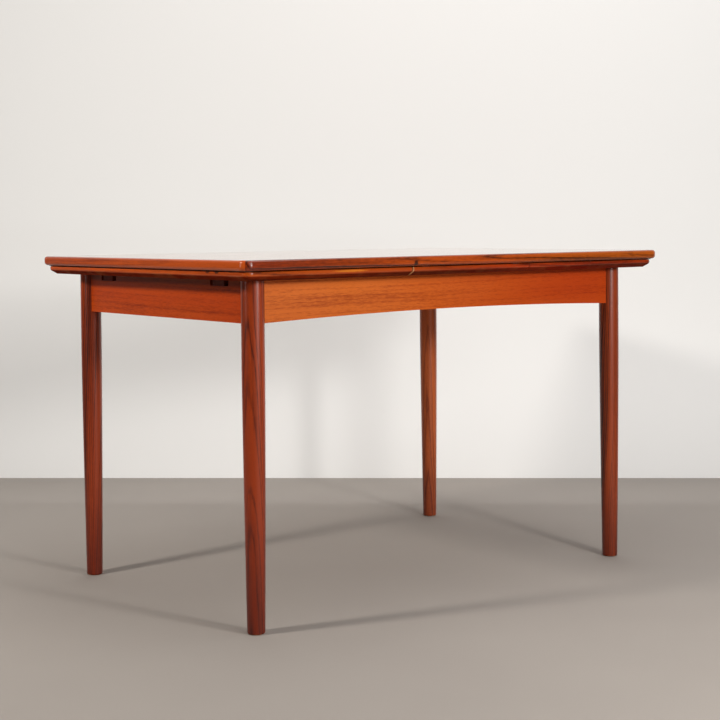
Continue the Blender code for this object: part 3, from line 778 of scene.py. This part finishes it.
def build_centre_board_edging(ring, made):
    """The board that stays in the middle is edged front and rear from the leaves' stock."""
    for face in ("front", "rear"):
        strip = cut_mitred(ring, f"edging_centre_board_{face}", face, LEAF_OUTER_X, LEAF_HALF_WIDTH)
        for side_x in (-1, 1):
            square_off(strip, side_x * BOARD_HALF, -side_x, WORN_BOARD_END if side_x < 0 else SHARP_END)
        smooth(strip)
        fit_out(strip, made["leaf_edge_long"], "table_frame",
                f"centre_board_lipping_{face}")


def build_leaf_layer(made):
    ring = leaf_ring()
    build_leaf(ring, "left", -1, made)
    build_leaf(ring, "right", 1, made)
    build_centre_board_edging(ring, made)
    discard(ring)


# ---------------------------------------------------------------- pieces kept from the frame
def finish_kept_nodes(made):
    """The hidden joinery keeps the frame's own shapes and only gets its materials."""
    kinds = (("corner_block", "beech_long"), ("leg_bolt", "steel"), ("leg_nut", "steel"),
             ("centre_board_screw", "steel"), ("centre_board_panel", "leaf_veneer"),
             ("centre_rail", "beech_cross"), ("guide_peg", "beech_long"), ("felt_strip", "felt"),
             ("left_runner", "runner"), ("right_runner", "runner"), ("left_stop", "beech_long"),
             ("right_stop", "beech_long"))
    for name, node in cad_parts.items():
        for start, finish in kinds:
            if name.startswith(start):
                node.data.materials.clear()
                node.data.materials.append(made[finish])


# ---------------------------------------------------------------- studio
FLOOR_SIZE = 40.0
FLOOR_DROP = 0.0002         # keeps the floor just clear of the feet
WALL_FACING = (-0.669, -0.743, 0)
WALL_DISTANCE = 1.172       # from the middle of the table
WALL_LENGTH = 24.0
WALL_HEIGHT = 6.0
CAMERA_PLACE = (-2.1225, -2.6517, 0.7902)
CAMERA_TURN = (38.878, 1.597, -0.534)       # right, down and anticlockwise, in degrees
CAMERA_SENSOR = 36.0
CAMERA_LENS = 72.85
CAMERA_SHIFT = -0.1282
LAMPS = (                   # name, place, target, width and height, watts, colour
    ("side_light", (-2.38, 0.23, 1.85), (-0.2, 0, 0.5), (0.30, 0.30), 37.5, (1.0, 0.96, 0.90)),
    ("front_light", (0.08, -2.43, 1.05), (0, 0, 0.5), (0.26, 0.26), 22, (1.0, 0.98, 0.95)),
    ("wide_light", (-0.1, -4.8, 1.85), (-0.1, 0, 0.60), (4.0, 1.2), 80, (1.0, 0.98, 0.96)),
    ("wall_wash", (0.3, -0.5, 3.1), (0.8, 0.8, 0.0), (2.4, 2.4), 34, (0.98, 0.99, 1.0)),
    ("wall_foot", (0.45, 0.50, 0.22), (0.784, 0.871, 0.34), (3.6, 0.3), 1.7, (0.98, 0.99, 1.0)),
    ("front_glint", (0.08, -2.43, 0.66), (-0.59, -0.41, 0.71), (0.70, 0.07), 3.2, (1.0, 1.0, 1.0)),
    ("side_glint", (-2.38, 0.23, 0.67), (-0.59, -0.41, 0.71), (0.40, 0.07), 0.9, (1.0, 1.0, 1.0)))


def show_face_only(material, g, shader):
    """Makes the back of a surface clear, so that the table can be seen from behind and below."""
    clear = g.add("ShaderNodeBsdfTransparent").outputs[0]
    behind = g.add("ShaderNodeNewGeometry").outputs["Backfacing"]
    both = g.add("ShaderNodeMixShader", {0: behind, 1: shader.outputs[0], 2: clear}).outputs[0]
    g.feed(material.node_tree.nodes["Material Output"].inputs["Surface"], both)


def build_floor():
    bpy.ops.object.select_all(action="DESELECT")
    bpy.ops.mesh.primitive_grid_add(x_subdivisions=2, y_subdivisions=2, size=FLOOR_SIZE,
                                    location=(0, 0, -FLOOR_DROP))
    floor = bpy.context.object
    floor.name = "floor"
    material, g, shader = new_material("pale_floor")
    place = g.add("ShaderNodeTexCoord").outputs["Object"]
    speckle = g.noise(place, scale=420.0, detail=3.0, roughness=0.7)
    clouds = g.noise(place, scale=1.6, detail=3.0)
    colour = g.blend(speckle, (0.31, 0.275, 0.245, 1), (0.40, 0.36, 0.325, 1))
    colour = g.blend(g.remap(clouds, 0.3, 0.7, 0.0, 0.35), colour, (0.29, 0.255, 0.23, 1))
    g.feed(shader.inputs["Base Color"], colour)
    shader.inputs["Roughness"].default_value = 0.85
    bump = g.add("ShaderNodeBump", {"Height": speckle, "Strength": 0.3, "Distance": 0.001})
    g.feed(shader.inputs["Normal"], bump.outputs["Normal"])
    show_face_only(material, g, shader)
    floor.data.materials.append(material)


def build_wall():
    """A pale wall behind the table, from the floor up to WALL_HEIGHT."""
    toward_room = Vector(WALL_FACING).normalized()
    middle = Vector((0, 0, WALL_HEIGHT / 2)) - toward_room * WALL_DISTANCE
    bpy.ops.object.select_all(action="DESELECT")
    bpy.ops.mesh.primitive_plane_add(size=1, location=middle,
                                     rotation=toward_room.to_track_quat("Z", "Y").to_euler())
    wall = bpy.context.object
    wall.name = "wall"
    wall.scale = (WALL_LENGTH, WALL_HEIGHT, 1)
    bpy.ops.object.transform_apply(location=True, rotation=True, scale=True)
    material, g, shader = new_material("white_wall")
    shader.inputs["Base Color"].default_value = (0.86, 0.855, 0.84, 1)
    shader.inputs["Roughness"].default_value = 0.9
    show_face_only(material, g, shader)
    wall.data.materials.append(material)


def add_area_light(name, place, target, size, power, colour):
    light = bpy.data.lights.new(name, "AREA")
    light.shape = "ELLIPSE"
    light.size, light.size_y = size
    light.energy = power
    light.color = colour
    lamp = bpy.data.objects.new(name, light)
    bpy.context.scene.collection.objects.link(lamp)
    lamp.location = place
    lamp.rotation_euler = (Vector(target) - Vector(place)).to_track_quat("-Z", "Y").to_euler()


def build_lights():
    for lamp in LAMPS:
        add_area_light(*lamp)
    world = bpy.data.worlds.new("studio")
    world.use_nodes = True
    background = world.node_tree.nodes["Background"]
    background.inputs["Color"].default_value = (0.95, 0.97, 1.0, 1)
    background.inputs["Strength"].default_value = 0.07
    bpy.context.scene.world = world


def build_camera():
    """Stands at the near left corner, just above the top, and looks along the table."""
    yaw, pitch, roll = (math.radians(a) for a in CAMERA_TURN)
    look = Vector((math.sin(yaw) * math.cos(pitch), math.cos(yaw) * math.cos(pitch), -math.sin(pitch)))
    right = Vector((math.cos(yaw), -math.sin(yaw), 0))
    up = right.cross(look)
    right, up = right * math.cos(roll) + up * math.sin(roll), up * math.cos(roll) - right * math.sin(roll)
    data = bpy.data.cameras.new("camera")
    data.sensor_width = CAMERA_SENSOR
    data.lens = CAMERA_LENS
    data.shift_y = CAMERA_SHIFT
    camera = bpy.data.objects.new("camera", data)
    bpy.context.scene.collection.objects.link(camera)
    rotation = Matrix((right, up, -look)).transposed()
    camera.matrix_world = Matrix.Translation(CAMERA_PLACE) @ rotation.to_4x4()
    bpy.context.scene.camera = camera


def build_scene():
    made = build_materials()
    build_legs(made)
    build_aprons(made)
    build_top(made)
    build_leaf_layer(made)
    finish_kept_nodes(made)
    build_floor()
    build_wall()
    build_lights()
    build_camera()
    bpy.context.scene.view_settings.view_transform = "Standard"


build_scene()
